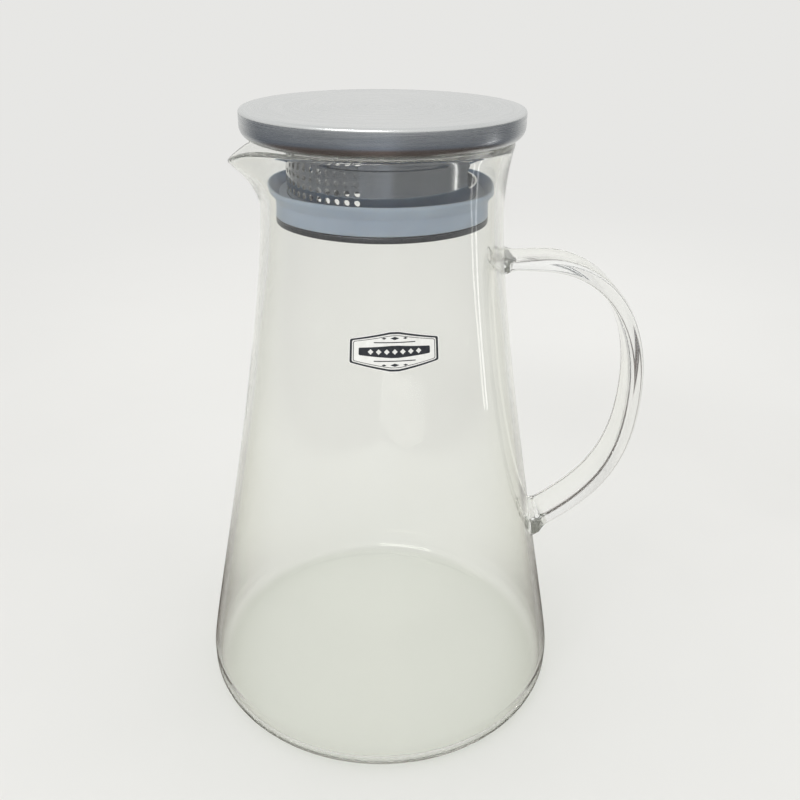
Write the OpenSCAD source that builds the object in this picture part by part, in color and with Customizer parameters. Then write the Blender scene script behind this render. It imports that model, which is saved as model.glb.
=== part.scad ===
// Glass pouring jug with a pulled lip and a fused strip handle, closed by a steel lid
// that carries a strainer tube and a silicone ring in the neck.
// Millimetres. The origin is the centre of the base, +Z is up, the lip points along -X
// and the handle along +X.

/* [Jug] */
// Height of the glass rim above the table
rim_h = 229.7; // [215:0.1:245]
// Outer diameter of the base
base_d = 150; // [140:0.5:160]
// Outer diameter at the narrowest place of the neck
neck_d = 88.6; // [86:0.2:92]
// How far the rim stands out past the narrowest place of the neck
rim_flare = 2.4; // [1.6:0.1:3.6]
// Distance from the rim down to the narrowest place of the neck
neck_drop = 22.2; // [20:0.2:26]
// Radius of the outer corner round the base
corner_r = 8; // [5:0.5:10]
// Height at which the side stops being upright
belly_h = 12; // [10.5:0.5:20]
// How far the side keeps its upright start above the belly
belly_pull = 8.5; // [4:0.5:20]
// How far the side comes upright below the neck
neck_pull = 43; // [30:1:55]

/* [Glass thickness] */
// Thickness of the bottom
base_wall = 3.2; // [2.5:0.1:4.5]
// Thickness of the side
body_wall = 2.6; // [2:0.1:3]
// Thickness at the narrowest place of the neck
neck_wall = 3.4; // [3:0.1:4.4]
// Thickness of the rim
rim_wall = 3; // [2.4:0.1:3.4]
// Thickness of the pulled lip at its tip
lip_wall = 2.2; // [1.8:0.1:3]
// Distance below the narrowest place at which the side starts to grow thicker
thick_start = 57; // [40:1:80]
// Distance below the narrowest place at which the side has the neck's thickness
thick_full = 20; // [10:1:30]

/* [Lip] */
// How far the lip reaches out past the rim
lip_out = 8.2; // [5:0.2:10]
// How far the tip of the lip lies below the rim
lip_dip = 7.6; // [4:0.2:9]
// Half angle at which the lip has lost most of its reach
lip_spread = 20; // [14:1:28]

/* [Handle] */
// Distance from the axis to the outer face of the handle
handle_reach = 102.5; // [96:0.1:108]
// Width of the glass strip
handle_w = 18; // [14:0.5:20]
// Thickness of the glass strip
handle_t = 5.2; // [4.4:0.1:6]
// Thickness of the strip where it leaves its upper end
handle_top_t = 3.8; // [3.6:0.1:4.4]
// Distance over which the strip reaches its full thickness
handle_swell = 22; // [14:1:30]
// Radius along the edges of the strip
handle_edge = 1.6; // [1:0.1:1.7]
// Distance from the rim down to the middle of the upper end
handle_drop = 44.6; // [40:0.1:50]
// How far from the neck the strip runs level before it bends down
handle_level = 15.5; // [8:0.5:24]
// Distance from the upper end down to the place that stands furthest out
handle_fall = 52; // [42:1:62]
// Height of the lower end
handle_low_h = 70.4; // [62:0.1:80]
// Angle at which the strip comes down to its lower end
handle_low_angle = 32.4; // [26:0.2:38]
// Height of the upper fused end where it meets the wall
pad_top_h = 5.6; // [4.8:0.2:8]
// Height of the lower fused end where it meets the wall
pad_low_h = 7; // [6.2:0.2:9]
// Width of the fused ends where they meet the wall
pad_w = 19.6; // [18.6:0.2:21]
// Distance over which the fused ends run out into the strip
pad_run = 2.2; // [1.5:0.1:3]

/* [Lid] */
// How far the lid reaches out past the rim
lid_over = 3.3; // [2.4:0.1:6]
// Thickness of the whole lid
lid_h = 10; // [9:0.5:12]
// Radius of the top edge
lid_top_r = 1.3; // [1.2:0.1:2]
// Radius of the rolled lower edge
lid_low_r = 4.6; // [3:0.2:5]
// Thickness of the sheet
lid_sheet = 1; // [0.8:0.1:1.2]
// Width of the inward lip that holds the plate
lid_lip = 5.4; // [4:0.2:6]
// Thickness of the plate that closes the lid
plate_t = 1; // [0.8:0.1:1.5]
// Clearance between the plate and the rolled edge
plate_gap = 0.4; // [0.2:0.1:0.6]
// Clearance between the lid and the glass rim
lid_gap = 0.3; // [0.2:0.1:0.5]

/* [Strainer] */
// Room that the seal needs between the tube and the glass
seal_room = 6.7; // [6.2:0.1:8]
// Thickness of the tube
tube_wall = 0.8; // [0.6:0.1:1]
// Length of the tube below the lid
tube_h = 26.1; // [25:0.1:30]
// Height of the wider collar under the lid
collar_h = 5.6; // [5.5:0.1:6]
// How far the collar stands out
collar_step = 0.4; // [0.2:0.05:0.4]
// Diameter of the strainer holes
hole_d = 2; // [1.2:0.1:2.2]
// Number of rows of holes
hole_rows = 5; // [3:1:5]
// Number of holes in a row
hole_cols = 27; // [15:2:27]
// Distance between the rows
row_pitch = 3.03; // [2.8:0.01:3.1]
// Angle between the holes of a row
col_angle = 5.88; // [5.5:0.02:6]
// Distance from the collar's lower edge up to the row of holes in the collar
collar_row = 1.6; // [1.5:0.1:2.4]
// Width of the pouring window
window_w = 38; // [24:1:42]
// Height of the pouring window
window_h = 8; // [6:0.2:9]
// Distance from the collar to the window
window_drop = 1; // [0.8:0.1:1.4]
// Radius of the window corners
window_r = 2.5; // [1:0.1:2.8]
// How far the foot flange stands out past the tube
foot_out = 4.3; // [3:0.1:5]
// Thickness of the foot flange
foot_t = 2.1; // [1.5:0.1:3]
// Chamfer along the edge of the foot flange
foot_edge = 0.4; // [0.2:0.1:0.6]

/* [Seal] */
// Clearance between the seal and the glass
seal_gap = 0.2; // [0.15:0.05:0.4]
// Clearance between the seal and the steel
seal_slip = 0.2; // [0.15:0.05:0.4]
// Height of the whole seal
seal_h = 10.3; // [9.5:0.1:11]
// Height of the straight band
band_h = 5.4; // [4:0.1:6]
// How far the band stays inside the fin
band_inset = 2.2; // [1.4:0.1:2.8]
// Height of the solid part beside the tube
core_h = 7.2; // [6.5:0.1:8]
// Thickness of the fin
fin_t = 1.1; // [0.8:0.1:1.4]

/* [Label] */
// Width of the label round the glass
label_w = 31; // [24:0.5:36]
// Height of the label
label_h = 14.2; // [10:0.2:18]
// Distance from the rim down to the middle of the label
label_drop = 62.2; // [50:0.2:85]
// Turn of the label from the front towards the handle
label_turn = 5.3; // [0:0.1:20]
// Width of the straight top edge as a share of the whole
label_top = 0.1; // [0.04:0.02:0.6]
// Height of the upright ends as a share of the whole
label_side = 0.6; // [0.3:0.02:0.8]
// Thickness of the label
label_t = 0.2; // [0.15:0.05:0.3]
// Layer of glue under the label
label_glue = 0.05; // [0.03:0.01:0.1]

/* [Hidden] */
$fn = 96;

base_r = base_d / 2;
neck_r = neck_d / 2;
rim_r = neck_r + rim_flare;
neck_z = rim_h - neck_drop;
bore_r = neck_r - neck_wall;
label_z = rim_h - label_drop;

// Steps along the curved outlines, round corners and round small edges
corner_steps = 6;
edge_steps = 3;
round_steps = 8;
side_steps = 28;
lip_steps = 8;
rim_steps = 6;
lip_columns = 120;
label_steps = 8;
hole_sides = 24;
halvings = 24;

// The lip ring reaches this far into the wall below it, and stays this far inside its faces
lip_root = 0.6;
lip_nest = 0.07;
// Share by which the columns of the lip ring crowd together at the lip
lip_crowd = 0.45;
// How the lip leans out along its height, and how it fades round the rim
lip_lean = 1.25;
lip_fade = 1.3;

// Middle line of the handle, as distance from the axis and height: a level run and two
// curves that meet at the furthest place. The pulls are shares of the way that each curve
// has to go.
handle_root = [bore_r, rim_h - handle_drop];
handle_bend = [neck_r + handle_level, handle_root[1]];
handle_far = [handle_reach - handle_t / 2, handle_root[1] - handle_fall];
handle_low = [outer_r(handle_low_h) - body_wall / 2, handle_low_h];
handle_low_way = [cos(handle_low_angle), sin(handle_low_angle)];
top_pull = 0.576;
up_pull = 0.62;
down_pull = 0.5;
low_pull = 0.85;
upper_bend = [
    handle_bend,
    handle_bend + [top_pull * (handle_far[0] - handle_bend[0]), 0],
    handle_far + [0, up_pull * handle_fall],
    handle_far
];
lower_bend = [
    handle_far,
    handle_far - [0, down_pull * (handle_far[1] - handle_low[1])],
    handle_low + low_pull * (handle_far[0] - handle_low[0]) * handle_low_way,
    handle_low
];
// Rings along the level run and along each curve, how they crowd towards the fused ends,
// and how deep the lower end is sunk
level_steps = 10;
handle_steps = 20;
handle_crowd = 1.7;
handle_sink = 6;

lid_z = rim_h + lid_gap;
lid_r = rim_r + lid_over;
plate_z = lid_z + lid_sheet;
plate_r = lid_r - lid_low_r - plate_gap;
lid_hole_r = lid_r - lid_low_r - lid_lip;

tube_r = bore_r - seal_room;
tube_z = lid_z - tube_h;
collar_z = lid_z - collar_h;
window_top = collar_z - window_drop;
past = 1;
// Smallest radius inside the lid's top edge
tight_r = 0.1;

seal_z = tube_z + seal_slip;
seal_in_r = tube_r + seal_slip;
fin_r = bore_r - seal_gap;
band_r = fin_r - band_inset;
seal_edge = 0.4;

// Place on a curve with four control values or points, and the direction there
function on_curve(b, t) =
    pow(1 - t, 3) * b[0] + 3 * pow(1 - t, 2) * t * b[1] + 3 * (1 - t) * t * t * b[2]
    + t * t * t * b[3];
function curve_way(b, t) =
    let (v = pow(1 - t, 2) * (b[1] - b[0]) + 2 * (1 - t) * t * (b[2] - b[1])
        + t * t * (b[3] - b[2]))
    v / norm(v);
// Soft step from 0 to 1
function soft(u) = let (v = max(0, min(1, u))) v * v * (3 - 2 * v);
// Points of an arc from one angle to another
function arc(x, y, r, from, to, n) =
    [for (i = [0:n]) let (a = from + (to - from) * i / n) [x + r * cos(a), y + r * sin(a)]];

// Outer side of the glass between belly and neck
function side_z(t) = on_curve([belly_h, belly_h + belly_pull, neck_z - neck_pull, neck_z], t);
function side_r(t) = on_curve([base_r, base_r, neck_r, neck_r], t);
// Place on that side at a given height, found by halving
function side_t(z, lo = 0, hi = 1, n = halvings) =
    n == 0 ? (lo + hi) / 2
    : side_z((lo + hi) / 2) < z ? side_t(z, (lo + hi) / 2, hi, n - 1)
    : side_t(z, lo, (lo + hi) / 2, n - 1);
function outer_r(z) = side_r(side_t(z));
function wall_at(z) =
    body_wall
    + (neck_wall - body_wall) * soft((z - neck_z + thick_start) / (thick_start - thick_full));

// Reach of the lip at an angle from the lip's own direction, from 1 down to 0
function lip_share(a) = exp(-pow(abs(a) / lip_spread, lip_fade));
// Angle of a column of the lip ring, closer together at the lip
function lip_angle(i) =
    let (u = 2 * i / lip_columns - 1) 180 * (u * (1 - lip_crowd) + pow(u, 3) * lip_crowd);

module glass_jug() {
    color([0.86, 0.90, 0.84, 0.45]) {
        difference() {
            union() {
                jug_outside();
                handle();
            }
            jug_inside();
        }
        lip_ring();
    }
}

module jug_outside() {
    rotate_extrude()
        polygon(concat(
            [[0, 0]],
            arc(base_r - corner_r, corner_r, corner_r, -90, 0, corner_steps),
            [for (i = [0:side_steps]) [side_r(i / side_steps), side_z(i / side_steps)]],
            [[0, neck_z]]
        ));
}

// The inside follows the outside at the wall's thickness
module jug_inside() {
    inner_r = corner_r - body_wall;
    rotate_extrude()
        polygon(concat(
            [[0, base_wall]],
            arc(base_r - corner_r, base_wall + inner_r, inner_r, -90, 0, corner_steps),
            [for (i = [0:side_steps])
                let (z = side_z(i / side_steps))
                if (z > base_wall + inner_r)
                    [side_r(i / side_steps) - wall_at(z), z]],
            [[bore_r, neck_z + past], [0, neck_z + past]]
        ));
}

// One section of the neck above its narrowest place, at an angle from the lip.
// It goes up the outside, over the rounded rim and down the inside.
function lip_section(a) =
    let (
        share = lip_share(a),
        wall = rim_wall + (lip_wall - rim_wall) * share,
        rise = lip_rise(share, wall),
        outside = [for (k = [0:lip_steps]) lip_outside(k / lip_steps, share, rise)],
        walls = [for (k = [0:lip_steps]) neck_wall + (wall - neck_wall) * soft(k / lip_steps)],
        leans = [for (k = [0:lip_steps]) lip_slope(k / lip_steps, share, rise)],
        inside = [for (k = [0:lip_steps])
            outside[k] + walls[k] * [-cos(leans[k]), sin(leans[k])]],
        lean = leans[lip_steps],
        middle = (outside[lip_steps] + inside[lip_steps]) / 2,
        over = [for (k = [1:rim_steps - 1])
            let (b = 180 * k / rim_steps - lean)
            middle + wall / 2 * [cos(b), sin(b)]]
    )
    concat(
        [[neck_r - lip_nest, neck_z - lip_root]],
        [for (k = [0:lip_steps]) outside[k] - (k == 0 ? [lip_nest, 0] : [0, 0])],
        over,
        [for (k = [lip_steps:-1:0]) inside[k] + (k == 0 ? [lip_nest, 0] : [0, 0])],
        [[bore_r + lip_nest, neck_z - lip_root]]
    );

// Height from the narrowest place up to the outer corner of the rim, so that the rounded
// rim's highest point lies at the rim's own height
function lip_rise(share, wall) =
    let (high = neck_drop - lip_dip * share - wall / 2)
    high - wall / 2 * sin(lip_slope(1, share, high));
function lip_outside(s, share, rise) =
    [neck_r + (rim_r - neck_r) * s * s + lip_out * share * pow(s, lip_lean), neck_z + s * rise];
function lip_slope(s, share, rise) =
    s == 0 ? 0
    : atan((2 * (rim_r - neck_r) * s + lip_lean * lip_out * share * pow(s, lip_lean - 1)) / rise);

// The top of the neck as one closed ring of sections, pulled into a lip on one side
module lip_ring() {
    sections = [for (i = [0:lip_columns - 1]) lip_section(lip_angle(i))];
    n = len(sections[0]);
    points = [for (i = [0:lip_columns - 1])
        let (a = 180 + lip_angle(i))
        for (p = sections[i]) [p[0] * cos(a), p[0] * sin(a), p[1]]];
    faces = [for (i = [0:lip_columns - 1], k = [0:n - 1])
        let (
            j = (i + 1) % lip_columns,
            m = (k + 1) % n
        )
        each [[i * n + k, i * n + m, j * n + m], [i * n + k, j * n + m, j * n + k]]];
    polyhedron(points, faces, convexity = 6);
}

// Share of the fused end in the section, at a distance from the wall
function pad_share(d) = d <= 0 ? 1 : exp(-pow(d / pad_run, 2));

// Rounded section of the strip, across the width and the thickness
function strip_section(w, t) =
    concat(
        arc(w / 2 - handle_edge, t / 2 - handle_edge, handle_edge, 0, 90, edge_steps),
        arc(-w / 2 + handle_edge, t / 2 - handle_edge, handle_edge, 90, 180, edge_steps),
        arc(-w / 2 + handle_edge, -t / 2 + handle_edge, handle_edge, 180, 270, edge_steps),
        arc(w / 2 - handle_edge, -t / 2 + handle_edge, handle_edge, 270, 360, edge_steps)
    );
// One ring of the strip: the section set across the middle line, at a distance from the wall
function strip_ring(p, way, d, strip_t, pad_h) =
    let (
        share = pad_share(d),
        out = [-way[1], way[0]],
        flat = strip_section(
            handle_w + (pad_w - handle_w) * share,
            strip_t + (pad_h - strip_t) * share)
    )
    [for (q = flat) [p[0] + out[0] * q[1], q[0], p[1] + out[1] * q[1]]];
// A ring of the upper half, where the strip grows thicker away from the wall
function upper_ring(p, way) =
    let (d = p[0] - outer_r(handle_root[1]))
    strip_ring(p, way, d, handle_top_t + (handle_t - handle_top_t) * soft(d / handle_swell),
        pad_top_h);
function lower_ring(p, way) =
    strip_ring(p, way, (p - handle_low) * handle_low_way - body_wall, handle_t, pad_low_h);

module handle() {
    top_wall = outer_r(handle_root[1]);
    level = [for (i = [0:level_steps])
        let (x = top_wall + (handle_bend[0] - top_wall) * pow(i / level_steps, handle_crowd))
        upper_ring([x, handle_root[1]], [1, 0])];
    upper = [for (i = [1:handle_steps])
        let (t = i / handle_steps)
        upper_ring(on_curve(upper_bend, t), curve_way(upper_bend, t))];
    lower = [for (i = [1:handle_steps])
        let (t = 1 - pow(1 - i / handle_steps, handle_crowd))
        lower_ring(on_curve(lower_bend, t), curve_way(lower_bend, t))];
    sunk = lower_ring(handle_low - handle_sink * handle_low_way, -handle_low_way);
    sweep(concat([upper_ring(handle_root, [1, 0])], level, upper, lower, [sunk]));
}

// Closed skin over a row of rings that have the same number of points
module sweep(rings) {
    n = len(rings[0]);
    last = len(rings) - 1;
    points = [for (r = rings) each r];
    sides = [for (i = [0:last - 1], k = [0:n - 1])
        let (m = (k + 1) % n)
        each [[i * n + k, (i + 1) * n + k, (i + 1) * n + m], [i * n + k, (i + 1) * n + m, i * n + m]]];
    start = [for (k = [0:n - 1]) k];
    end = [for (k = [n - 1:-1:0]) last * n + k];
    polyhedron(points, concat(sides, [start], [end]), convexity = 6);
}

// Thin shell that follows the glass, cut to a long six-sided shape
module label() {
    heights = [for (i = [0:label_steps]) label_z + label_h * (i / label_steps * 2 - 1)];
    near = label_glue;
    far = label_glue + label_t;
    color("ivory")
        rotate([0, 0, label_turn])
            intersection() {
                rotate_extrude()
                    polygon(concat(
                        [for (z = heights) [outer_r(z) + near, z]],
                        [for (i = [label_steps:-1:0]) [outer_r(heights[i]) + far, heights[i]]]
                    ));
                translate([0, 0, label_z])
                    rotate([90, 0, 0])
                        linear_extrude(height = base_r)
                            label_outline();
            }
}

module label_outline() {
    w = outer_r(label_z) * sin(label_w / outer_r(label_z) * 90 / PI);
    h = label_h / 2;
    polygon([
        [w, h * label_side], [w * label_top, h], [-w * label_top, h], [-w, h * label_side],
        [-w, -h * label_side], [-w * label_top, -h], [w * label_top, -h], [w, -h * label_side]
    ]);
}

// Pressed sheet: flat top, rolled lower edge and an inward lip
module lid_cap() {
    low = lid_z + lid_low_r;
    top = lid_z + lid_h;
    in_top_r = max(lid_top_r - lid_sheet, tight_r);
    in_low_r = lid_low_r - lid_sheet;
    color("silver")
        rotate_extrude()
            polygon(concat(
                [[lid_hole_r, lid_z]],
                arc(lid_r - lid_low_r, low, lid_low_r, -90, 0, round_steps),
                arc(lid_r - lid_top_r, top - lid_top_r, lid_top_r, 0, 90, round_steps),
                [[0, top], [0, top - lid_sheet]],
                arc(lid_r - lid_sheet - in_top_r, top - lid_sheet - in_top_r, in_top_r, 90, 0,
                    edge_steps),
                arc(lid_r - lid_low_r, low, in_low_r, 0, -90, round_steps),
                [[lid_hole_r, lid_z + lid_sheet]]
            ));
}

// Disc that closes the lid from inside and carries the tube
module lid_plate() {
    color("lightgray")
        translate([0, 0, plate_z])
            cylinder(r = plate_r, h = plate_t);
}

// Perforated tube with a wider collar, rows of holes towards the lip and a window behind
module strainer() {
    collar_r = tube_r + collar_step;
    color("gray")
        difference() {
            rotate_extrude()
                polygon([
                    [tube_r - tube_wall, tube_z],
                    [tube_r, tube_z],
                    [tube_r, collar_z],
                    [collar_r, collar_z + collar_step],
                    [collar_r, plate_z],
                    [collar_r - tube_wall, plate_z],
                    [collar_r - tube_wall, collar_z + collar_step],
                    [tube_r - tube_wall, collar_z]
                ]);
            strainer_holes();
            pouring_window();
        }
}

module strainer_holes() {
    for (row = [0:hole_rows - 1], col = [0:hole_cols - 1])
        rotate([0, 0, 180 + (col - (hole_cols - 1) / 2) * col_angle])
            translate([tube_r - tube_wall - past, 0, collar_z + collar_row - row * row_pitch])
                rotate([0, 90, 0])
                    cylinder(d = hole_d, h = tube_wall + collar_step + 2 * past, $fn = hole_sides);
}

module pouring_window() {
    y = window_w / 2 - window_r;
    z = window_h / 2 - window_r;
    translate([0, 0, window_top - window_h / 2])
        rotate([90, 0, 90])
            linear_extrude(height = tube_r + past)
                polygon(concat(
                    arc(y, z, window_r, 0, 90, corner_steps),
                    arc(-y, z, window_r, 90, 180, corner_steps),
                    arc(-y, -z, window_r, 180, 270, corner_steps),
                    arc(y, -z, window_r, 270, 360, corner_steps)
                ));
}

// Flange under the tube that carries the seal
module strainer_foot() {
    foot_r = tube_r + foot_out;
    color("dimgray")
        translate([0, 0, tube_z - foot_t])
            rotate_extrude()
                polygon([
                    [tube_r - tube_wall, 0],
                    [foot_r - foot_edge, 0],
                    [foot_r, foot_edge],
                    [foot_r, foot_t - foot_edge],
                    [foot_r - foot_edge, foot_t],
                    [tube_r - tube_wall, foot_t]
                ]);
}

// Silicone ring: a straight band below, a fin above that leans out to the glass
module seal_ring() {
    fin_z = seal_h - fin_t;
    color("lightsteelblue")
        translate([0, 0, seal_z])
            rotate_extrude()
                polygon([
                    [seal_in_r, 0],
                    [band_r - seal_edge, 0],
                    [band_r, seal_edge],
                    [band_r, band_h],
                    [fin_r, fin_z],
                    [fin_r, seal_h - seal_edge],
                    [fin_r - seal_edge, seal_h],
                    [fin_r - fin_t, seal_h - seal_edge],
                    [band_r - fin_t, core_h],
                    [seal_in_r, core_h]
                ]);
}

glass_jug();
label();
lid_cap();
lid_plate();
strainer();
strainer_foot();
seal_ring();
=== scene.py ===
# A glass jug with a pulled lip, a fused strip handle and a steel strainer lid.
# Lengths named in capitals are millimetres, unless they say otherwise; every mesh and
# place in the scene is in metres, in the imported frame.
import math

import bmesh
import bpy
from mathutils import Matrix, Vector


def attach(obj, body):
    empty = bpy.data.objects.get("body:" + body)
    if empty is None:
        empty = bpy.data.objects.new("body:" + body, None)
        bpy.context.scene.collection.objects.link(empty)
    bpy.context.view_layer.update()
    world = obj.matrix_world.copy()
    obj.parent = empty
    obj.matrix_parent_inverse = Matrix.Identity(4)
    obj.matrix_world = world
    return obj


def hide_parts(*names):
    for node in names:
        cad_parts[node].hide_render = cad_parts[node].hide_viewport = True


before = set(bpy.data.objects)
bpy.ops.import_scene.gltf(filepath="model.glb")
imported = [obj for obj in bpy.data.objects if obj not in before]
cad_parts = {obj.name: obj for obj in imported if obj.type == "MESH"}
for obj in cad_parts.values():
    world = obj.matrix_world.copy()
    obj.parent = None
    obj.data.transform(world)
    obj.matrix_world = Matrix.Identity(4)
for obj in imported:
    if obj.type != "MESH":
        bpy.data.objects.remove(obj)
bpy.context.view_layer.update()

MM = 0.001
SCENE = bpy.context.scene

# Jug. The pulls say how far the side's curve holds its way above the belly and below the neck.
RIM_H = 229.7
BASE_R = 75.0
NECK_R = 44.3
RIM_R = 46.7
NECK_Z = RIM_H - 22.2
CORNER_R = 8.0
BELLY_H = 12.0
BELLY_PULL = 8.5
NECK_PULL = 43.0

# Glass thickness. The wall grows from the body's to the neck's between two distances below
# the neck's foot.
BASE_WALL = 3.2
BODY_WALL = 2.6
NECK_WALL = 3.4
RIM_WALL = 3.0
LIP_WALL = 2.2
THICK_START = 57.0
THICK_FULL = 20.0
BORE_R = NECK_R - NECK_WALL

# Pouring lip: its reach past the rim, its dip, its spread in degrees, the powers of its lean
# and of its fade to the sides, and how much closer the columns of points stand there
LIP_OUT = 8.2
LIP_DIP = 7.6
LIP_SPREAD = 20.0
LIP_LEAN = 1.25
LIP_FADE = 1.3
LIP_CROWD = 0.45

# Strip handle: its section, its middle line and the pads and fillets where it meets the wall
HANDLE_W = 18.0
HANDLE_T = 5.2
HANDLE_TOP_T = 3.8
HANDLE_SWELL = 22.0
HANDLE_EDGE = 1.6
HANDLE_REACH = 102.5
HANDLE_X = HANDLE_REACH - HANDLE_T / 2
HANDLE_TOP_Z = RIM_H - 44.6
HANDLE_BEND_X = NECK_R + 15.5
HANDLE_FALL = 52.0
HANDLE_LOW_H = 70.4
HANDLE_LOW_ANGLE = math.radians(32.4)
PAD_TOP_H = 5.6
PAD_LOW_H = 7.0
PAD_W = 19.6
PAD_RUN = 2.2
FILLET = 0.35
FILLET_RUN = 0.5

# How far the middle line's two curves hold their way at their ends, as shares of their spans
TOP_PULL = 0.576
UP_PULL = 0.62
DOWN_PULL = 0.5
LOW_PULL = 0.85

# Lid, strainer and seal
LID_Z = RIM_H + 0.3
LID_R = RIM_R + 3.3
LID_H = 10.0
LID_TOP_R = 1.3
LID_LOW_R = 4.6
LID_SHEET = 1.0
LID_LIP = 5.4
LID_LIP_EDGE = 0.3
TUBE_R = BORE_R - 6.7
TUBE_WALL = 0.8
TUBE_Z = LID_Z - 26.1
FOOT_OUT = 4.3
FOOT_T = 2.1
FOOT_EDGE = 0.4
SEAL_CLEAR = 0.2
SEAL_Z = TUBE_Z + SEAL_CLEAR
SEAL_H = 10.3
BAND_H = 5.4
BAND_INSET = 2.2
CORE_H = 7.2
FIN_T = 1.1
SEAL_EDGE = 0.4

# Soft bends in the seal's section, as steps out and up from the corner that each one rounds:
# the band's top, the fin's lower edge, the fin's inner top and the core's top
BAND_BEND = ((0.0, -0.5), (0.06, 0.0), (0.35, 0.8))
FIN_BEND = ((-0.12, -0.4), (0.0, 0.0))
FIN_BACK_BEND = ((0.2, -0.15), (0.0, -SEAL_EDGE))
CORE_BEND = ((0.15, 0.4), (-0.3, 0.0))

# Label
LABEL_W = 31.0
LABEL_H = 14.2
LABEL_Z = RIM_H - 62.2
LABEL_TURN = math.radians(5.3)
LABEL_TOP_SHARE = 0.1
LABEL_SIDE_SHARE = 0.6
LABEL_T = 0.2
LABEL_GLUE = 0.05
LABEL_CORNER = 0.8

# The label's print: two borders, each with its inset and width, a dark field with a row of
# pale diamonds, and a line, a middle mark and two side marks above and below the field.
# Sizes of marks are halves, across and up.
INK_T = 0.03
BORDERS = ((0.35, 0.75), (1.5, 0.22))
BORDER_CORNER = 0.6
BORDER_UP_SHARE = 0.9
FIELD_INSET = 3.4
FIELD_HALF_H = 2.1
FIELD_CORNER = 0.4
LINE_Y = 3.2
LINE_SIZE = (7.0, 0.16)
MARK_Y = 4.6
MIDDLE_MARK_SIZE = (1.5, 0.55)
SIDE_MARK_X = 3.6
SIDE_MARK_SIZE = (0.8, 0.35)
PALE_MARK_PITCH = 2.7
PALE_MARK_SIZE = (0.95, 0.95)
PALE_MARKS_ASIDE = 3
MARK_RINGS = 2

# Camera, solved from the photograph, with its focal length and centre in pixels
CAMERA_BACK = 316.5
CAMERA_UP = 281.0
CAMERA_PITCH = math.radians(26.09)
CAMERA_YAW = math.radians(0.08)
CAMERA_ROLL = math.radians(0.27)
PHOTO_WIDTH = 800
FOCAL_PX = 869.3
CENTRE_PX = 382.4
SENSOR = 36.0

# Floor and the card on it, in metres: heights, just under the jug's bottom, and reach
FLOOR_Z = -0.0002
FLOOR_REACH = 30.0
CARD_Z = -0.0001
CARD_REACH = 6.0

# Paler sector of the card, which paints a brighter band into the reflections in the steel: its
# direction, the cosines of its angle where it starts and where it is full, and the strength of
# the card's colour outside it and in it
SECTOR_WAY = (-0.139, -0.990, 0.0)
SECTOR_EDGE = 0.927
SECTOR_FULL = 0.978
SECTOR_DARK = 0.85
SECTOR_PALE = 1.7

# Where the card starts to fade and where it ends behind the jug, as the Y of the level
# direction from the jug
CARD_FADE = 0.4
CARD_END = 0.95

# Reflected light that has passed 1 to 3 surfaces of the glass when it reaches the card was
# reflected inside a wall: middle and margin of that number
IN_WALL_DEPTH = 2.0
IN_WALL_MARGIN = 1.5

# Tone of the far floor and of the world at the horizon, and of the world high up
BACKGROUND = (0.80, 0.797, 0.78)
SKY = (0.91, 0.91, 0.90)

# Lamps: places and sizes in metres, powers in watts
LAMP_AIM = (0.0, 0.0, 0.12)
KEY_PLACE = (-0.35, -0.85, 0.95)
KEY_SIZE = (0.75, 0.2)
KEY_POWER = 3.8
STRIP_PLACE = (0.33, 0.0, 0.12)
STRIP_SIZE = (0.012, 0.12)
STRIP_POWER = 0.016
BACK_PLACE = (0.35, 0.90, 0.75)
BACK_SIZE = (0.8, 0.4)
BACK_POWER = 1.4

# Light bounces that the many walls of the glass need
ALL_BOUNCES = 48
GLASS_BOUNCES = 40
CLEAR_BOUNCES = 24

# Columns of points round the jug and round turned pieces, and the angle from which an edge
# stays sharp
COLUMNS = 240
LATHE_COLUMNS = 192
SMOOTH_ANGLE = math.radians(35)

# Range of a noise value that spreads and colour ramps put to use
RAMP_START = 0.3
RAMP_END = 0.7

# Brushed steel: how closely its fine lines and its wider streaks lie, across and along
BRUSH_ACROSS = 5200
BRUSH_ALONG = 2.2
STREAK_ACROSS = BRUSH_ACROSS / 7
STREAK_ALONG = BRUSH_ALONG * 0.6


# Curves and outlines

def steps(n):
    """n + 1 evenly spaced shares from 0 to 1."""
    return [i / n for i in range(n + 1)]


def on_curve(bend, t):
    """Place on a cubic curve, from its four guide points or from one coordinate of each."""
    s = 1 - t
    return s ** 3 * bend[0] + 3 * s * s * t * bend[1] + 3 * s * t * t * bend[2] + t ** 3 * bend[3]


def curve_way(bend, t):
    """Direction of a cubic curve."""
    s = 1 - t
    way = s * s * (bend[1] - bend[0]) + 2 * s * t * (bend[2] - bend[1]) + t * t * (bend[3] - bend[2])
    return way.normalized()


def soft(u):
    """Smooth step from 0 to 1."""
    u = min(max(u, 0.0), 1.0)
    return u * u * (3 - 2 * u)


def halved(is_past, low, high, rounds=40):
    """The place between low and high where is_past turns true."""
    for _ in range(rounds):
        middle = (low + high) / 2
        if is_past(middle):
            high = middle
        else:
            low = middle
    return (low + high) / 2


def arc(x, y, r, start, end, n):
    """Points of an arc from one angle to another, in degrees."""
    angles = [math.radians(start + (end - start) * s) for s in steps(n)]
    return [(x + r * math.cos(a), y + r * math.sin(a)) for a in angles]


# The glass's own outline

def side_z(t):
    """Height on the side's curve, from the belly up to the neck."""
    return on_curve((BELLY_H, BELLY_H + BELLY_PULL, NECK_Z - NECK_PULL, NECK_Z), t)


def side_r(t):
    """Radius on the side's curve."""
    return on_curve((BASE_R, BASE_R, NECK_R, NECK_R), t)


def outer_r(z):
    """Outside radius of the side at a height."""
    return side_r(halved(lambda t: side_z(t) > z, 0.0, 1.0))


def wall_at(z):
    """Thickness of the side's wall at a height."""
    share = soft((z - NECK_Z + THICK_START) / (THICK_START - THICK_FULL))
    return BODY_WALL + (NECK_WALL - BODY_WALL) * share


def lip_share(a):
    """Reach of the lip at an angle in degrees from its own direction, from 1 down to 0."""
    return math.exp(-(abs(a) / LIP_SPREAD) ** LIP_FADE)


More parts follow.
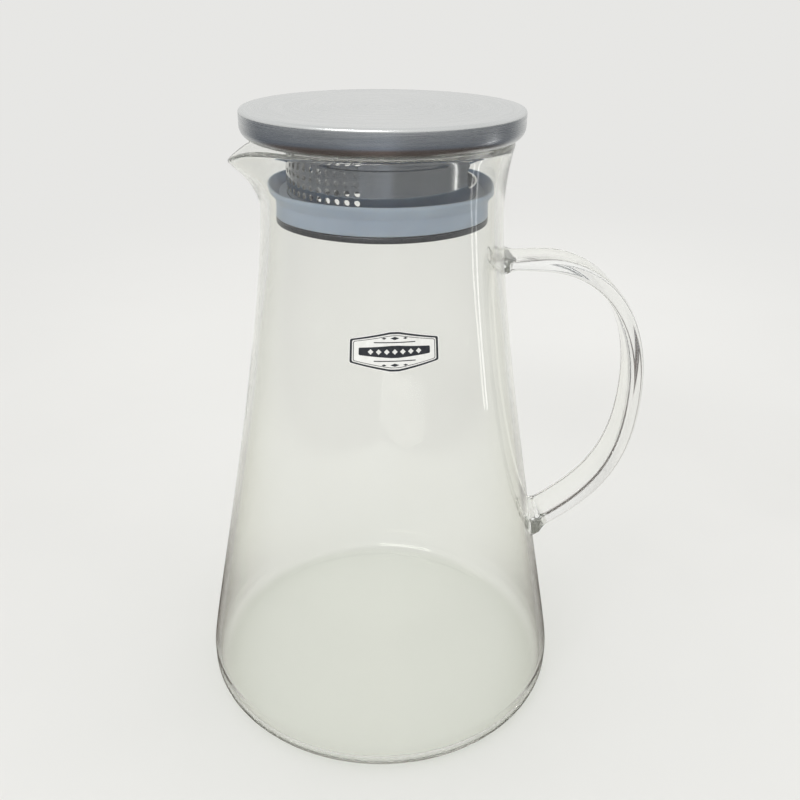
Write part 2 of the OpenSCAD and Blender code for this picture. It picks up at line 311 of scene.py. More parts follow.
def lip_angles():
    """Angles of the columns, in degrees from the lip, closer together at the lip."""
    places = [2 * i / COLUMNS - 1 for i in range(COLUMNS)]
    return [180 * (u * (1 - LIP_CROWD) + u ** 3 * LIP_CROWD) for u in places]


def lip_slope(s, share, rise):
    """Lean of the neck's outside from upright, in radians, at a share of its rise."""
    if s == 0:
        return 0.0
    lean = LIP_LEAN * LIP_OUT * share * s ** (LIP_LEAN - 1)
    return math.atan((2 * (RIM_R - NECK_R) * s + lean) / rise)


def lip_section(a, lip_steps=14, rim_steps=10):
    """Outside of the neck, over the rounded rim and down its inside, at an angle from the lip."""
    share = lip_share(a)
    wall = RIM_WALL + (LIP_WALL - RIM_WALL) * share
    high = RIM_H - NECK_Z - LIP_DIP * share - wall / 2
    rise = high - wall / 2 * math.sin(lip_slope(1, share, high))
    outside, inside = [], []
    for s in steps(lip_steps):
        reach = (RIM_R - NECK_R) * s * s + LIP_OUT * share * s ** LIP_LEAN
        out = Vector((NECK_R + reach, NECK_Z + s * rise))
        slope = lip_slope(s, share, rise)
        thick = NECK_WALL + (wall - NECK_WALL) * soft(s)
        outside.append(out)
        inside.append(out + thick * Vector((-math.cos(slope), math.sin(slope))))
    middle = (outside[-1] + inside[-1]) / 2
    slope = math.degrees(slope)
    over = arc(middle.x, middle.y, wall / 2, -slope, 180 - slope, rim_steps)[1:-1]
    return [tuple(p) for p in outside] + over + [tuple(p) for p in reversed(inside)]


def jug_section(a, side_steps=64, corner_steps=12, floor_steps=5):
    """From the middle of the bottom up the outside, over the rim and down to the inside's middle."""
    inner_r = CORNER_R - BODY_WALL
    floor_r = BASE_R - CORNER_R
    rings = [floor_r * s for s in steps(floor_steps)[:-1]]
    outside = [(side_r(t), side_z(t)) for t in steps(side_steps)[:-1]]
    inside = [(r - wall_at(z), z) for r, z in outside]
    return (
        [(r, 0.0) for r in rings]
        + arc(floor_r, CORNER_R, CORNER_R, -90, 0, corner_steps)
        + outside
        + lip_section(a)
        + inside[::-1]
        + arc(floor_r, BASE_WALL + inner_r, inner_r, 0, -90, corner_steps)
        + [(r, BASE_WALL) for r in rings[::-1]]
    )


# Meshes

def add_object(name, data):
    """Puts a mesh, a lamp or a camera into the scene."""
    piece = bpy.data.objects.new(name, data)
    SCENE.collection.objects.link(piece)
    return piece


def make_piece(name, points, faces):
    """A mesh object from points in millimetres, with smooth shading."""
    mesh = bpy.data.meshes.new(name)
    mesh.from_pydata([Vector(p) * MM for p in points], [], faces)
    work = bmesh.new()
    work.from_mesh(mesh)
    bmesh.ops.recalc_face_normals(work, faces=work.faces)
    work.to_mesh(mesh)
    work.free()
    smooth(mesh)
    return add_object(name, mesh)


def smooth(mesh):
    """Smooth shading, with edges sharp from SMOOTH_ANGLE on."""
    mesh.polygons.foreach_set("use_smooth", [True] * len(mesh.polygons))
    mesh.set_sharp_from_angle(angle=SMOOTH_ANGLE)
    mesh.update()


def turned(name, sections, angles, closed):
    """Sections of (radius, height) set round the Z axis. A closed section is a ring of points;
    an open one starts and ends on the axis, where its columns share one point."""
    points, rows = [], []
    for column, (section, a) in enumerate(zip(sections, angles)):
        row = []
        for k, (r, z) in enumerate(section):
            if r == 0 and column:
                row.append(rows[0][k])
                continue
            row.append(len(points))
            points.append((r * math.cos(a), r * math.sin(a), z))
        rows.append(row)
    faces = []
    count = len(sections[0])
    for here, there in zip(rows, rows[1:] + rows[:1]):
        for k in range(count if closed else count - 1):
            m = (k + 1) % count
            corners = list(dict.fromkeys([here[k], here[m], there[m], there[k]]))
            faces.append(corners)
    return make_piece(name, points, faces)


def lathe(name, profile, closed=True):
    """One section of (radius, height) turned round the Z axis."""
    angles = [2 * math.pi * i / LATHE_COLUMNS for i in range(LATHE_COLUMNS)]
    return turned(name, [profile] * LATHE_COLUMNS, angles, closed)


def swept(name, rings):
    """Skin over a row of rings with a point in the middle of each end."""
    count = len(rings[0])
    points = [p for ring in rings for p in ring]
    faces = []
    for i in range(len(rings) - 1):
        for k in range(count):
            m = (k + 1) % count
            faces.append([i * count + k, i * count + m, (i + 1) * count + m, (i + 1) * count + k])
    for start, ring in ((0, rings[0]), (len(points) - count, rings[-1])):
        middle = len(points)
        points.append(sum((Vector(p) for p in ring), Vector()) / count)
        faces += [[start + k, start + (k + 1) % count, middle] for k in range(count)]
    return make_piece(name, points, faces)


def fuse(piece, other):
    """Joins two closed meshes into one and takes the second away."""
    union = piece.modifiers.new("fuse", "BOOLEAN")
    union.operation = "UNION"
    union.solver = "MANIFOLD"
    union.object = other
    graph = bpy.context.evaluated_depsgraph_get()
    mesh = bpy.data.meshes.new_from_object(piece.evaluated_get(graph))
    piece.modifiers.remove(union)
    piece.data = mesh
    bpy.data.objects.remove(other)
    smooth(mesh)


# Handle

def strip_section(w, t, edge_steps=5):
    """Rounded section of the strip, across its width and its thickness."""
    x, y, r = w / 2 - HANDLE_EDGE, t / 2 - HANDLE_EDGE, HANDLE_EDGE
    return (
        arc(x, y, r, 0, 90, edge_steps)
        + arc(-x, y, r, 90, 180, edge_steps)
        + arc(-x, -y, r, 180, 270, edge_steps)
        + arc(x, -y, r, 270, 360, edge_steps)
    )


def strip_ring(place, way, gap, thick, pad_h):
    """The section across the middle line, wider near the wall, at a gap from the glass."""
    share = 1.0 if gap <= 0 else math.exp(-(gap / PAD_RUN) ** 2)
    fillet = 2 * FILLET * math.exp(-max(gap, 0.0) / FILLET_RUN)
    width = HANDLE_W + (PAD_W - HANDLE_W) * share + fillet
    height = thick + (pad_h - thick) * share + fillet
    out = Vector((-way.y, way.x))
    section = strip_section(width, height)
    return [Vector((place.x + out.x * v, u, place.y + out.y * v)) for u, v in section]


def onto_wall(ring, way, slide=12.0):
    """Slides each point of a ring along the strip's direction to the middle of the wall, by no
    more than the slide."""
    step = Vector((way.x, 0.0, way.y))

    def past_middle(p, move):
        q = p + step * move
        return math.hypot(q.x, q.y) > outer_r(q.z) - wall_at(q.z) / 2

    return [p + step * halved(lambda move: past_middle(p, move), -slide, slide) for p in ring]


def make_handle(level_rings=24, rings=48, crowd=1.9):
    """The strip from wall to wall: level at the top, out and down to its furthest reach, and back
    in to the wall. The power crowd sets its rings closer together near the wall."""
    root = Vector((BORE_R, HANDLE_TOP_Z))
    bend = Vector((HANDLE_BEND_X, HANDLE_TOP_Z))
    far = Vector((HANDLE_X, HANDLE_TOP_Z - HANDLE_FALL))
    low = Vector((outer_r(HANDLE_LOW_H) - BODY_WALL / 2, HANDLE_LOW_H))
    low_way = Vector((math.cos(HANDLE_LOW_ANGLE), math.sin(HANDLE_LOW_ANGLE)))
    upper = (
        bend,
        bend + Vector((TOP_PULL * (far.x - bend.x), 0.0)),
        far + Vector((0.0, UP_PULL * HANDLE_FALL)),
        far,
    )
    lower = (
        far,
        far - Vector((0.0, DOWN_PULL * (far.y - low.y))),
        low + LOW_PULL * (far.x - low.x) * low_way,
        low,
    )
    wall_x = outer_r(HANDLE_TOP_Z)
    level_way = Vector((1.0, 0.0))

    def upper_ring(place, way):
        gap = place.x - wall_x
        thick = HANDLE_TOP_T + (HANDLE_T - HANDLE_TOP_T) * soft(gap / HANDLE_SWELL)
        return strip_ring(place, way, gap, thick, PAD_TOP_H)

    parts = [onto_wall(upper_ring(root, level_way), level_way)]
    for s in steps(level_rings):
        x = wall_x + (bend.x - wall_x) * s ** crowd
        parts.append(upper_ring(Vector((x, HANDLE_TOP_Z)), level_way))
    for t in steps(rings)[1:]:
        parts.append(upper_ring(on_curve(upper, t), curve_way(upper, t)))
    for s in steps(rings)[1:]:
        t = 1 - (1 - s) ** crowd
        place = on_curve(lower, t)
        gap = (place - low).dot(low_way) - BODY_WALL
        parts.append(strip_ring(place, curve_way(lower, t), gap, HANDLE_T, PAD_LOW_H))
    parts[-1] = onto_wall(parts[-1], low_way)
    return swept("handle_strip", parts)


def make_jug():
    """Jug and handle as one closed mesh."""
    angles = lip_angles()
    sections = [jug_section(a) for a in angles]
    jug = turned("jug_glass", sections, [math.radians(180 + a) for a in angles], closed=False)
    fuse(jug, make_handle())
    return jug


# Label

def on_glass(u, v, lift):
    """A place on the label from its distance round the glass and above the label's middle."""
    z = LABEL_Z + v
    angle = u / outer_r(LABEL_Z) - math.pi / 2 + LABEL_TURN
    r = outer_r(z) + lift
    return (r * math.cos(angle), r * math.sin(angle), z)


def filled_out(outline, spacing=0.8):
    """The outline with points added so that none is further than the spacing from the next."""
    points = []
    for (x, y), (x2, y2) in zip(outline, outline[1:] + outline[:1]):
        parts = max(1, math.ceil(math.hypot(x2 - x, y2 - y) / spacing))
        points += [(x + (x2 - x) * i / parts, y + (y2 - y) * i / parts) for i in range(parts)]
    return points


def hexagon(half_w, half_h, corner, bend_parts=4, edge_parts=14):
    """Long six-sided outline with rounded corners; its ends are upright and blunt. Every such
    outline has the same number of points, so that one can lie inside the next."""
    top, side = half_w * LABEL_TOP_SHARE, half_h * LABEL_SIDE_SHARE
    corners = [Vector(p) for p in (
        (half_w, side), (top, half_h), (-top, half_h), (-half_w, side),
        (-half_w, -side), (-top, -half_h), (top, -half_h), (half_w, -side),
    )]
    outline = []
    for before, here, after in zip(corners[-1:] + corners, corners, corners[1:] + corners[:1]):
        start = here + (before - here).normalized() * corner
        end = here + (after - here).normalized() * corner
        following = after + (here - after).normalized() * corner
        outline += [start.lerp(here, s).lerp(here.lerp(end, s), s) for s in steps(bend_parts)]
        outline += [end.lerp(following, s) for s in steps(edge_parts)[1:-1]]
    return [tuple(p) for p in outline]


def shell(outlines, low, high):
    """Points and faces of a thin closed sheet on the glass, between two lifts and between the
    first and the last of its outlines, which lie one inside the next."""
    points, faces = [], []
    count = len(outlines[0])
    for lift in (low, high):
        for outline in outlines:
            points += [on_glass(u, v, lift) for u, v in outline]
    layers = len(outlines)

    def at(layer, k):
        return layer * count + k % count

    # The lower side and the upper side, then the walls at the first and the last outline
    for side in (0, layers):
        for layer in range(side, side + layers - 1):
            faces += [[at(layer, k), at(layer, k + 1), at(layer + 1, k + 1), at(layer + 1, k)]
                      for k in range(count)]
    for layer in (0, layers - 1):
        faces += [[at(layer, k), at(layer, k + 1), at(layer + layers, k + 1), at(layer + layers, k)]
                  for k in range(count)]
    return points, faces


def disc_shell(outline, low, high, rings=8, smallest=0.02):
    """A filled sheet: the outline shrunk in rings towards its middle, down to the smallest
    share, and closed there in place of the shell's inner wall."""
    middle = sum((Vector(p) for p in outline), Vector((0.0, 0.0))) / len(outline)
    shares = [1 - s * (1 - smallest) for s in steps(rings)]
    outlines = [[tuple(middle.lerp(Vector(p), s)) for p in outline] for s in shares]
    points, faces = shell(outlines, low, high)
    count = len(outline)
    faces = faces[:-count]
    for lift, layer in ((low, rings), (high, 2 * rings + 1)):
        centre = len(points)
        points.append(on_glass(middle.x, middle.y, lift))
        faces += [[layer * count + k, layer * count + (k + 1) % count, centre] for k in range(count)]
    return points, faces


def joined(name, parts):
    """One piece from several pairs of points and faces."""
    points, faces = [], []
    for more_points, more_faces in parts:
        start = len(points)
        points += more_points
        faces += [[start + k for k in face] for face in more_faces]
    return make_piece(name, points, faces)


def diamond(x, y, half_w, half_h):
    """Outline of a diamond round its middle."""
    return filled_out([(x + half_w, y), (x, y + half_h), (x - half_w, y), (x, y - half_h)])


def bar(y, half_w, half_h):
    """Outline of a level bar at a height."""
    return filled_out([(half_w, y - half_h), (half_w, y + half_h), (-half_w, y + half_h),
                       (-half_w, y - half_h)])


def make_label():
    """Paper sheet, its dark border and a plain pattern of diamonds and lines."""
    half_w, half_h = LABEL_W / 2, LABEL_H / 2
    paper_top = LABEL_GLUE + LABEL_T
    ink_top = paper_top + INK_T
    white_top = ink_top + INK_T
    outline = hexagon(half_w, half_h, LABEL_CORNER)
    sheet = joined("label_sheet", [disc_shell(outline, LABEL_GLUE, paper_top)])

    def border(inset, width):
        rows = [hexagon(half_w - inset - d, half_h - inset - d * BORDER_UP_SHARE, BORDER_CORNER)
                for d in (0.0, width)]
        return shell(rows, paper_top, ink_top)

    ink = [border(inset, width) for inset, width in BORDERS]
    field = hexagon(half_w - FIELD_INSET, FIELD_HALF_H, FIELD_CORNER)
    ink.append(disc_shell(field, paper_top, ink_top))
    for side in (1, -1):
        ink.append(disc_shell(bar(side * LINE_Y, *LINE_SIZE), paper_top, ink_top))
        marks = [diamond(0, side * MARK_Y, *MIDDLE_MARK_SIZE)]
        marks += [diamond(x, side * MARK_Y, *SIDE_MARK_SIZE) for x in (-SIDE_MARK_X, SIDE_MARK_X)]
        ink += [disc_shell(mark, paper_top, ink_top, MARK_RINGS) for mark in marks]
    print_dark = joined("label_ink", ink)
    places = [PALE_MARK_PITCH * i for i in range(-PALE_MARKS_ASIDE, PALE_MARKS_ASIDE + 1)]
    pale = [disc_shell(diamond(x, 0, *PALE_MARK_SIZE), ink_top, white_top, MARK_RINGS) for x in places]
    print_pale = joined("label_pattern", pale)
    return sheet, print_dark, print_pale


# Lid and seal

def make_lid(flat_steps=6, edge_steps=12, roll_steps=16, inner_edge_steps=4):
    """Pressed sheet: flat top, rolled lower edge and an inward lip, open inside."""
    low, top = LID_Z + LID_LOW_R, LID_Z + LID_H
    hole_r = LID_R - LID_LOW_R - LID_LIP
    in_top_r = LID_TOP_R - LID_SHEET
    in_low_r = LID_LOW_R - LID_SHEET
    sheet_z = LID_Z + LID_SHEET
    rings = [(LID_R - LID_TOP_R) * s for s in steps(flat_steps)[:-1]]
    outside = (
        [(r, top) for r in rings]
        + arc(LID_R - LID_TOP_R, top - LID_TOP_R, LID_TOP_R, 90, 0, edge_steps)
        + arc(LID_R - LID_LOW_R, low, LID_LOW_R, 0, -90, roll_steps)
        + [(hole_r + LID_LIP_EDGE, LID_Z), (hole_r, LID_Z + LID_LIP_EDGE)]
    )
    inside = (
        [(hole_r, sheet_z - LID_LIP_EDGE), (hole_r + LID_LIP_EDGE, sheet_z)]
        + arc(LID_R - LID_LOW_R, low, in_low_r, -90, 0, edge_steps)
        + arc(LID_R - LID_TOP_R, top - LID_TOP_R, in_top_r, 0, 90, inner_edge_steps)
        + [(r, top - LID_SHEET) for r in rings[::-1]]
    )
    return lathe("lid_shell", outside + inside, closed=False)


def softened(r, z, bend):
    """The points of a soft bend in place of a corner."""
    return [(r + out, z + up) for out, up in bend]


def make_seal(edge_steps=5):
    """Soft ring: a straight band below and a fin above that leans out to the glass."""
    in_r = TUBE_R + SEAL_CLEAR
    fin_r = BORE_R - SEAL_CLEAR
    band_r = fin_r - BAND_INSET
    profile = (
        [(in_r, 0.0)]
        + arc(band_r - SEAL_EDGE, SEAL_EDGE, SEAL_EDGE, -90, 0, edge_steps)
        + softened(band_r, BAND_H, BAND_BEND)
        + softened(fin_r, SEAL_H - FIN_T, FIN_BEND)
        + arc(fin_r - SEAL_EDGE, SEAL_H - SEAL_EDGE, SEAL_EDGE, 0, 90, edge_steps)
        + softened(fin_r - FIN_T, SEAL_H, FIN_BACK_BEND)
        + softened(band_r - FIN_T, CORE_H, CORE_BEND)
        + [(in_r, CORE_H)]
    )
    return lathe("seal_skin", [(r, z + SEAL_Z) for r, z in profile])


def make_foot(edge_steps=5):
    """Flange under the tube, with a fine rolled edge."""
    hole_r = TUBE_R - TUBE_WALL
    edge_r = TUBE_R + FOOT_OUT - FOOT_EDGE
    profile = (
        [(hole_r, 0.0)]
        + arc(edge_r, FOOT_EDGE, FOOT_EDGE, -90, 0, edge_steps)
        + arc(edge_r, FOOT_T - FOOT_EDGE, FOOT_EDGE, 0, 90, edge_steps)
        + [(hole_r, FOOT_T)]
    )
    return lathe("foot_flange", [(r, z + TUBE_Z - FOOT_T) for r, z in profile])


# Materials

def node(tree, kind, inputs=(), **settings):
    """Adds a shader node. Inputs are (name or number, value or socket) pairs."""
    made = tree.nodes.new(kind)
    for key, value in settings.items():
        setattr(made, key, value)
    for key, value in inputs:
        if isinstance(value, bpy.types.NodeSocket):
            tree.links.new(value, made.inputs[key])
        else:
            made.inputs[key].default_value = value
    return made


def maths(tree, operation, *values):
    """Result of a Math node."""
    return node(tree, "ShaderNodeMath", enumerate(values), operation=operation).outputs[0]


def vectors(tree, operation, inputs, output="Vector"):
    """Result of a Vector Math node."""
    return node(tree, "ShaderNodeVectorMath", inputs, operation=operation).outputs[output]


def axes_of(tree, vector):
    """X, Y and Z of a vector, by name."""
    return node(tree, "ShaderNodeSeparateXYZ", [("Vector", vector)]).outputs


def object_place(tree):
    return node(tree, "ShaderNodeTexCoord").outputs["Object"]


def noise(tree, scale, detail=3.0, vector=None, roughness=0.5):
    """A noise value, by the place on the object unless another vector is given."""
    return node(tree, "ShaderNodeTexNoise", [
        ("Vector", vector or object_place(tree)), ("Scale", scale), ("Detail", detail),
        ("Roughness", roughness),
    ]).outputs["Fac"]


def spread(tree, value, low, high, start=RAMP_START, end=RAMP_END, way="LINEAR"):
    """Maps a value from the range start to end onto low to high, and holds it there."""
    return node(tree, "ShaderNodeMapRange", [
        ("Value", value), ("From Min", start), ("From Max", end), ("To Min", low), ("To Max", high),
    ], interpolation_type=way).outputs["Result"]


def two_colours(tree, value, low, high):
    """A colour between two tones, by a value from RAMP_START to RAMP_END."""
    ramp = node(tree, "ShaderNodeValToRGB", [("Fac", value)])
    start, end = ramp.color_ramp.elements
    start.position = RAMP_START
    start.color = (*low, 1)
    end.position = RAMP_END
    end.color = (*high, 1)
    return ramp.outputs["Color"]


def away_from_axis(tree, near, far):
    """0 on the floor round the jug and 1 far off, between two distances in metres."""
    distance = vectors(tree, "LENGTH", [(0, object_place(tree))], "Value")
    return spread(tree, distance, 0.0, 1.0, near, far, "SMOOTHSTEP")


def turned_lines(tree, across, along):
    """Coordinates that run round the Z axis: fine across a turned surface, long along it."""
    place = axes_of(tree, object_place(tree))
    flat = node(tree, "ShaderNodeCombineXYZ", [("X", place["X"]), ("Y", place["Y"])]).outputs[0]
    radius = vectors(tree, "LENGTH", [(0, flat)], "Value")
    way = vectors(tree, "NORMALIZE", [(0, flat)])
    fine = maths(tree, "MULTIPLY", maths(tree, "ADD", radius, place["Z"]), across)
    long = axes_of(tree, vectors(tree, "SCALE", [(0, way), ("Scale", along)]))
    return node(tree, "ShaderNodeCombineXYZ", [
        ("X", long["X"]), ("Y", long["Y"]), ("Z", fine),
    ]).outputs[0]


def material(name, **sockets):
    """A Principled material, its node tree and its shader; socket names have _ for a space."""
    made = bpy.data.materials.new(name)
    made.use_nodes = True
    shader = made.node_tree.nodes["Principled BSDF"]
    for key, value in sockets.items():
        shader.inputs[key.replace("_", " ")].default_value = value
    return made, made.node_tree, shader


def coloured(tree, shader, value, low, high):
    """Gives the shader a base colour between two tones."""
    tree.links.new(two_colours(tree, value, low, high), shader.inputs["Base Color"])


def roughened(tree, shader, value, low, high):
    """Gives the shader a roughness between two amounts."""
    tree.links.new(spread(tree, value, low, high), shader.inputs["Roughness"])


def bumped(tree, shader, height, distance, strength):
    """Gives the shader a fine relief, its distance in metres."""
    bump = node(tree, "ShaderNodeBump", [
        ("Height", height), ("Distance", distance), ("Strength", strength),
    ])
    tree.links.new(bump.outputs["Normal"], shader.inputs["Normal"])


def mixed_surface(tree, share, first, second):
    """Ends a material in a mix of two shaders, with that share of the second."""
    mix = node(tree, "ShaderNodeMixShader", [
        ("Fac", share), (1, first.outputs[0]), (2, second.outputs[0]),
    ])
    tree.links.new(mix.outputs[0], tree.nodes["Material Output"].inputs["Surface"])


def glass_material():
    """Clear glass, faintly olive where it turns away. Light shines through it, less at its edges."""
    made, tree, shader = material("clear_glass", Transmission_Weight=0.985, IOR=1.47)
    roughened(tree, shader, noise(tree, scale=60, detail=4), 0.0, 0.012)
    bumped(tree, shader, noise(tree, scale=22, detail=1), distance=0.0005, strength=0.12)
    facing = node(tree, "ShaderNodeLayerWeight", [("Blend", 0.35)]).outputs["Facing"]
    coloured(tree, shader, facing, (0.98, 0.983, 0.965), (0.94, 0.945, 0.87))
    tint = two_colours(tree, facing, (0.98, 0.985, 0.975), (0.76, 0.78, 0.74))
    clear = node(tree, "ShaderNodeBsdfTransparent", [("Color", tint)])
    path = node(tree, "ShaderNodeLightPath").outputs
    lights_through = maths(tree, "MAXIMUM", path["Is Shadow Ray"], path["Is Diffuse Ray"])
    mixed_surface(tree, lights_through, shader, clear)
    return made


def brushed_material(name, low, high, roughness, anisotropic):
    """Steel brushed round its axis: fine lines, and wider streaks between two tones."""
    made, tree, shader = material(name, Metallic=1.0, Anisotropic=anisotropic)
    fine = turned_lines(tree, BRUSH_ACROSS, BRUSH_ALONG)
    lines = noise(tree, scale=1.0, detail=4, vector=fine, roughness=0.6)
    wide = turned_lines(tree, STREAK_ACROSS, STREAK_ALONG)
    streaks = noise(tree, scale=1.0, detail=2, vector=wide)
    coloured(tree, shader, streaks, low, high)
    roughened(tree, shader, lines, *roughness)
    round_z = node(tree, "ShaderNodeTangent", direction_type="RADIAL", axis="Z")
    tree.links.new(round_z.outputs[0], shader.inputs["Tangent"])
    bumped(tree, shader, lines, distance=0.00004, strength=0.25)
    return made


def lid_steel():
    return brushed_material("brushed_steel", (0.62, 0.635, 0.635), (0.68, 0.69, 0.69),
                            roughness=(0.21, 0.33), anisotropic=0.3)


def foot_steel():
    return brushed_material("dark_steel", (0.05, 0.05, 0.056), (0.09, 0.09, 0.098),
                            roughness=(0.26, 0.40), anisotropic=0.4)


def polished_material():
    """Polished steel with faint turning marks and soft cloudy variation."""
    made, tree, shader = material("polished_steel", Metallic=1.0)
    coloured(tree, shader, noise(tree, scale=55, detail=3), (0.48, 0.48, 0.49), (0.60, 0.60, 0.59))
    lines = noise(tree, scale=1.0, detail=3, vector=turned_lines(tree, across=2600, along=3))
    roughened(tree, shader, lines, 0.10, 0.20)
    bumped(tree, shader, lines, distance=0.00003, strength=0.15)
    return made


def silicone_material():
    """Pale blue-grey silicone that lets some light through."""
    made, tree, shader = material(
        "pale_silicone", IOR=1.41, Subsurface_Weight=0.5, Subsurface_Radius=(0.6, 0.8, 1.0),
        Subsurface_Scale=0.004, Transmission_Weight=0.3,
    )
    coloured(tree, shader, noise(tree, scale=90, detail=3), (0.39, 0.46, 0.58), (0.47, 0.55, 0.68))
    roughened(tree, shader, noise(tree, scale=240, detail=4), 0.34, 0.46)
    bumped(tree, shader, noise(tree, scale=1600, detail=2), distance=0.00002, strength=0.3)
    return made


def paper_material():
    """White sticker paper with a fine grain."""
    made, tree, shader = material("label_paper", Sheen_Weight=0.1)
    coloured(tree, shader, noise(tree, scale=700, detail=5), (0.80, 0.80, 0.77), (0.88, 0.88, 0.86))
    roughened(tree, shader, noise(tree, scale=300, detail=3), 0.38, 0.52)
    bumped(tree, shader, noise(tree, scale=2600, detail=4), distance=0.00002, strength=0.3)
    return made


def ink_material(name, low, high):
    """Printing ink between two tones."""
    made, tree, shader = material(name)
    coloured(tree, shader, noise(tree, scale=900, detail=4), low, high)
    roughened(tree, shader, noise(tree, scale=500, detail=3), 0.3, 0.45)
    return made


def dark_ink():
    return ink_material("label_dark", (0.018, 0.02, 0.026), (0.035, 0.038, 0.045))


def pale_ink():
    return ink_material("label_pale", (0.74, 0.74, 0.71), (0.82, 0.82, 0.80))


def floor_material():
    """Pale floor that keeps its brightness far off, where it is the background."""
    made, tree, shader = material("pale_floor")
    coloured(tree, shader, noise(tree, scale=6, detail=3), (0.785, 0.782, 0.765), BACKGROUND)
    roughened(tree, shader, noise(tree, scale=30, detail=3), 0.55, 0.65)
    path = node(tree, "ShaderNodeLightPath").outputs
    direct = maths(tree, "MAXIMUM", path["Is Camera Ray"], path["Is Glossy Ray"])
    seen = maths(tree, "MAXIMUM", direct, path["Is Transmission Ray"])
    share = maths(tree, "MULTIPLY", seen, away_from_axis(tree, near=0.35, far=1.0))
    glow = node(tree, "ShaderNodeEmission", [("Color", (*BACKGROUND, 1))])
    mixed_surface(tree, share, shader, glow)
    return made


def card_material():
    """Dark card round the jug that only reflections show: a sheet of painted reflections, brown near
    the jug and blue-grey further off, with a paler sector in front that paints a brighter band into
    the steel's reflections, fading out behind the jug. Of the reflections that light makes inside
    the wall of the glass, only those from the second on show it."""
    made, tree, shader = material("dark_card", Roughness=0.8)
    tone = two_colours(tree, away_from_axis(tree, near=0.12, far=0.6), (0.085, 0.062, 0.054),
                       (0.115, 0.13, 0.16))
    way = vectors(tree, "NORMALIZE", [(0, object_place(tree))])
    ahead = vectors(tree, "DOT_PRODUCT", [(0, way), (1, SECTOR_WAY)], "Value")
    sector = spread(tree, ahead, SECTOR_DARK, SECTOR_PALE, SECTOR_EDGE, SECTOR_FULL, "SMOOTHSTEP")
    patches = spread(tree, noise(tree, scale=2.2, detail=1, vector=way), 0.7, 1.3)
    strength = maths(tree, "MULTIPLY", sector, patches)
    tree.links.new(vectors(tree, "SCALE", [(0, tone), ("Scale", strength)]),
                   shader.inputs["Base Color"])
    path = node(tree, "ShaderNodeLightPath").outputs
    in_wall = maths(tree, "COMPARE", path["Transmission Depth"], IN_WALL_DEPTH, IN_WALL_MARGIN)
    mirrored = maths(tree, "SUBTRACT", path["Glossy Depth"], in_wall)
    shown = maths(tree, "GREATER_THAN", mirrored, 0.5)
    kept = spread(tree, axes_of(tree, way)["Y"], 1.0, 0.0, CARD_FADE, CARD_END, "SMOOTHSTEP")
    share = maths(tree, "MULTIPLY", shown, kept)
    mixed_surface(tree, share, node(tree, "ShaderNodeBsdfTransparent"), shader)
    return made


def cover(piece, made):
    """Gives a piece its material in place of any that it has."""
    piece.data.materials.clear()
    piece.data.materials.append(made)


def dress(piece, made, body, slot, *nodes):
    """Gives a new piece its material and its body, and hides the nodes that it stands for; the slot is
    not used.
    """
    cover(piece, made)
    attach(piece, body)
    if nodes:
        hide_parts(*nodes)


# Stage

def make_camera():
    """Camera at the photograph's place, turned by yaw, pitch and roll."""
    forward = Vector((
        math.sin(CAMERA_YAW) * math.cos(CAMERA_PITCH),
        math.cos(CAMERA_YAW) * math.cos(CAMERA_PITCH),
        -math.sin(CAMERA_PITCH),
    ))
    level = Vector((math.cos(CAMERA_YAW), -math.sin(CAMERA_YAW), 0.0))
    upright = level.cross(forward)
    right = math.cos(CAMERA_ROLL) * level + math.sin(CAMERA_ROLL) * upright
    up = math.cos(CAMERA_ROLL) * upright - math.sin(CAMERA_ROLL) * level
    data = bpy.data.cameras.new("camera")
    data.sensor_width = SENSOR
    data.lens = FOCAL_PX * SENSOR / PHOTO_WIDTH
    data.shift_x = (PHOTO_WIDTH / 2 - CENTRE_PX) / PHOTO_WIDTH
    data.clip_start = 0.01
    camera = add_object("camera", data)
    camera.location = (0.0, -CAMERA_BACK * MM, CAMERA_UP * MM)
    turn = camera.matrix_world.to_3x3()
    turn.col[0], turn.col[1], turn.col[2] = right, up, -forward
    camera.rotation_euler = turn.to_euler()
    SCENE.camera = camera


def softbox(name, place, size, power):
    """A lamp that is a rectangle facing LAMP_AIM and that the camera doesn't see."""
    data = bpy.data.lights.new(name, "AREA")
    data.shape = "RECTANGLE"
    data.size, data.size_y = size
    data.energy = power
    lamp = add_object(name, data)
    lamp.location = place
    lamp.rotation_euler = (Vector(LAMP_AIM) - Vector(place)).to_track_quat("-Z", "Y").to_euler()
    lamp.visible_camera = False
    return lamp


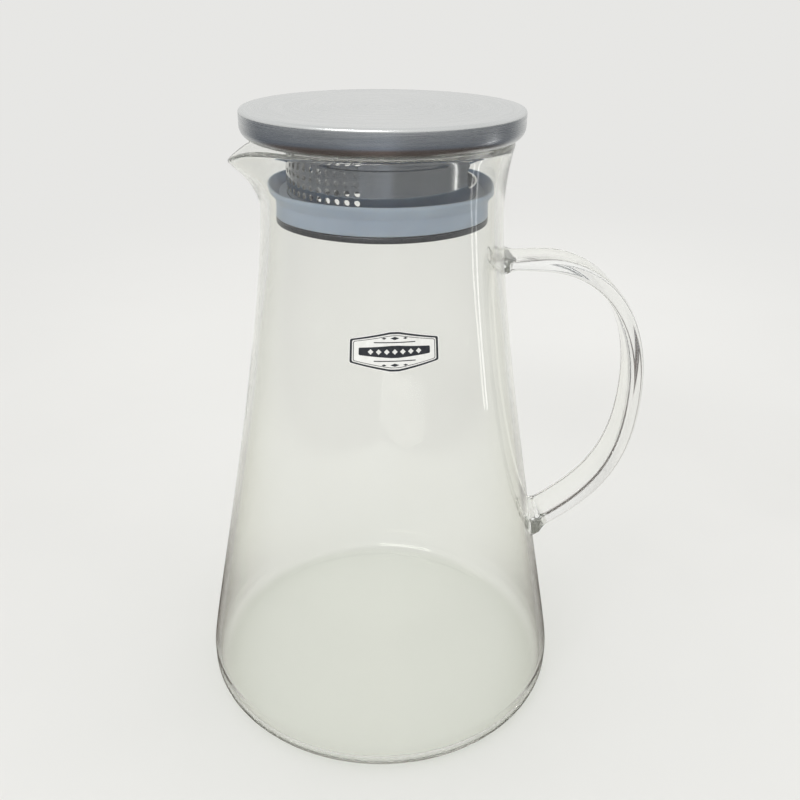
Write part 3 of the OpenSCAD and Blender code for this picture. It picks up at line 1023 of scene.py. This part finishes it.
def make_world():
    """Soft studio light from above, falling to the floor's own tone at the horizon."""
    world = bpy.data.worlds.new("studio")
    world.use_nodes = True
    SCENE.world = world
    tree = world.node_tree
    way = node(tree, "ShaderNodeTexCoord").outputs["Generated"]
    from_horizon = maths(tree, "ADD", axes_of(tree, way)["Z"], RAMP_START)
    tree.links.new(two_colours(tree, from_horizon, BACKGROUND, SKY),
                   tree.nodes["Background"].inputs["Color"])
    tree.nodes["Background"].inputs["Strength"].default_value = 1.0


def flat_square(name, made, reach, z):
    """A level square that reaches so far from the Z axis each way, in metres."""
    corners = [(-reach, -reach, z), (reach, -reach, z), (reach, reach, z), (-reach, reach, z)]
    mesh = bpy.data.meshes.new(name)
    mesh.from_pydata(corners, [], [(0, 1, 2, 3)])
    mesh.materials.append(made)
    piece = add_object(name, mesh)
    return piece


def make_stage():
    """Floor, card and lamps. The back lamp lights surfaces and shows in none of them."""
    flat_square("floor", floor_material(), FLOOR_REACH, FLOOR_Z)
    # The card is a dark sheet seen only in reflections: it paints dark reflections into the steel and
    # the glass
    card = flat_square("card", card_material(), CARD_REACH, CARD_Z)
    card.visible_camera = False
    card.visible_diffuse = False
    card.visible_shadow = False
    softbox("key", KEY_PLACE, KEY_SIZE, KEY_POWER)
    softbox("strip", STRIP_PLACE, STRIP_SIZE, STRIP_POWER)
    back = softbox("back", BACK_PLACE, BACK_SIZE, BACK_POWER)
    back.visible_glossy = False
    back.visible_transmission = False


def set_light_paths():
    """Plain colours and no caustics, with bounces enough for the glass."""
    SCENE.view_settings.view_transform = "Standard"
    SCENE.cycles.max_bounces = ALL_BOUNCES
    SCENE.cycles.transmission_bounces = GLASS_BOUNCES
    SCENE.cycles.glossy_bounces = GLASS_BOUNCES
    SCENE.cycles.transparent_max_bounces = CLEAR_BOUNCES
    SCENE.cycles.caustics_refractive = False
    SCENE.cycles.caustics_reflective = False


make_camera()
make_world()
make_stage()
set_light_paths()

dress(make_jug(), glass_material(), "jug", "glass", "glass_jug")

label_sheet, label_ink, label_pattern = make_label()
dress(label_sheet, paper_material(), "jug", "label", "label")
dress(label_ink, dark_ink(), "jug", "label")
dress(label_pattern, pale_ink(), "jug", "label")

dress(make_lid(), lid_steel(), "lid", "brushed_steel", "lid_cap")
dress(make_foot(), foot_steel(), "lid", "dark_steel", "strainer_foot")
dress(make_seal(), silicone_material(), "seal", "silicone", "seal_ring")

polished_steel = polished_material()
for name in ("strainer", "lid_plate"):
    cover(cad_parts[name], polished_steel)
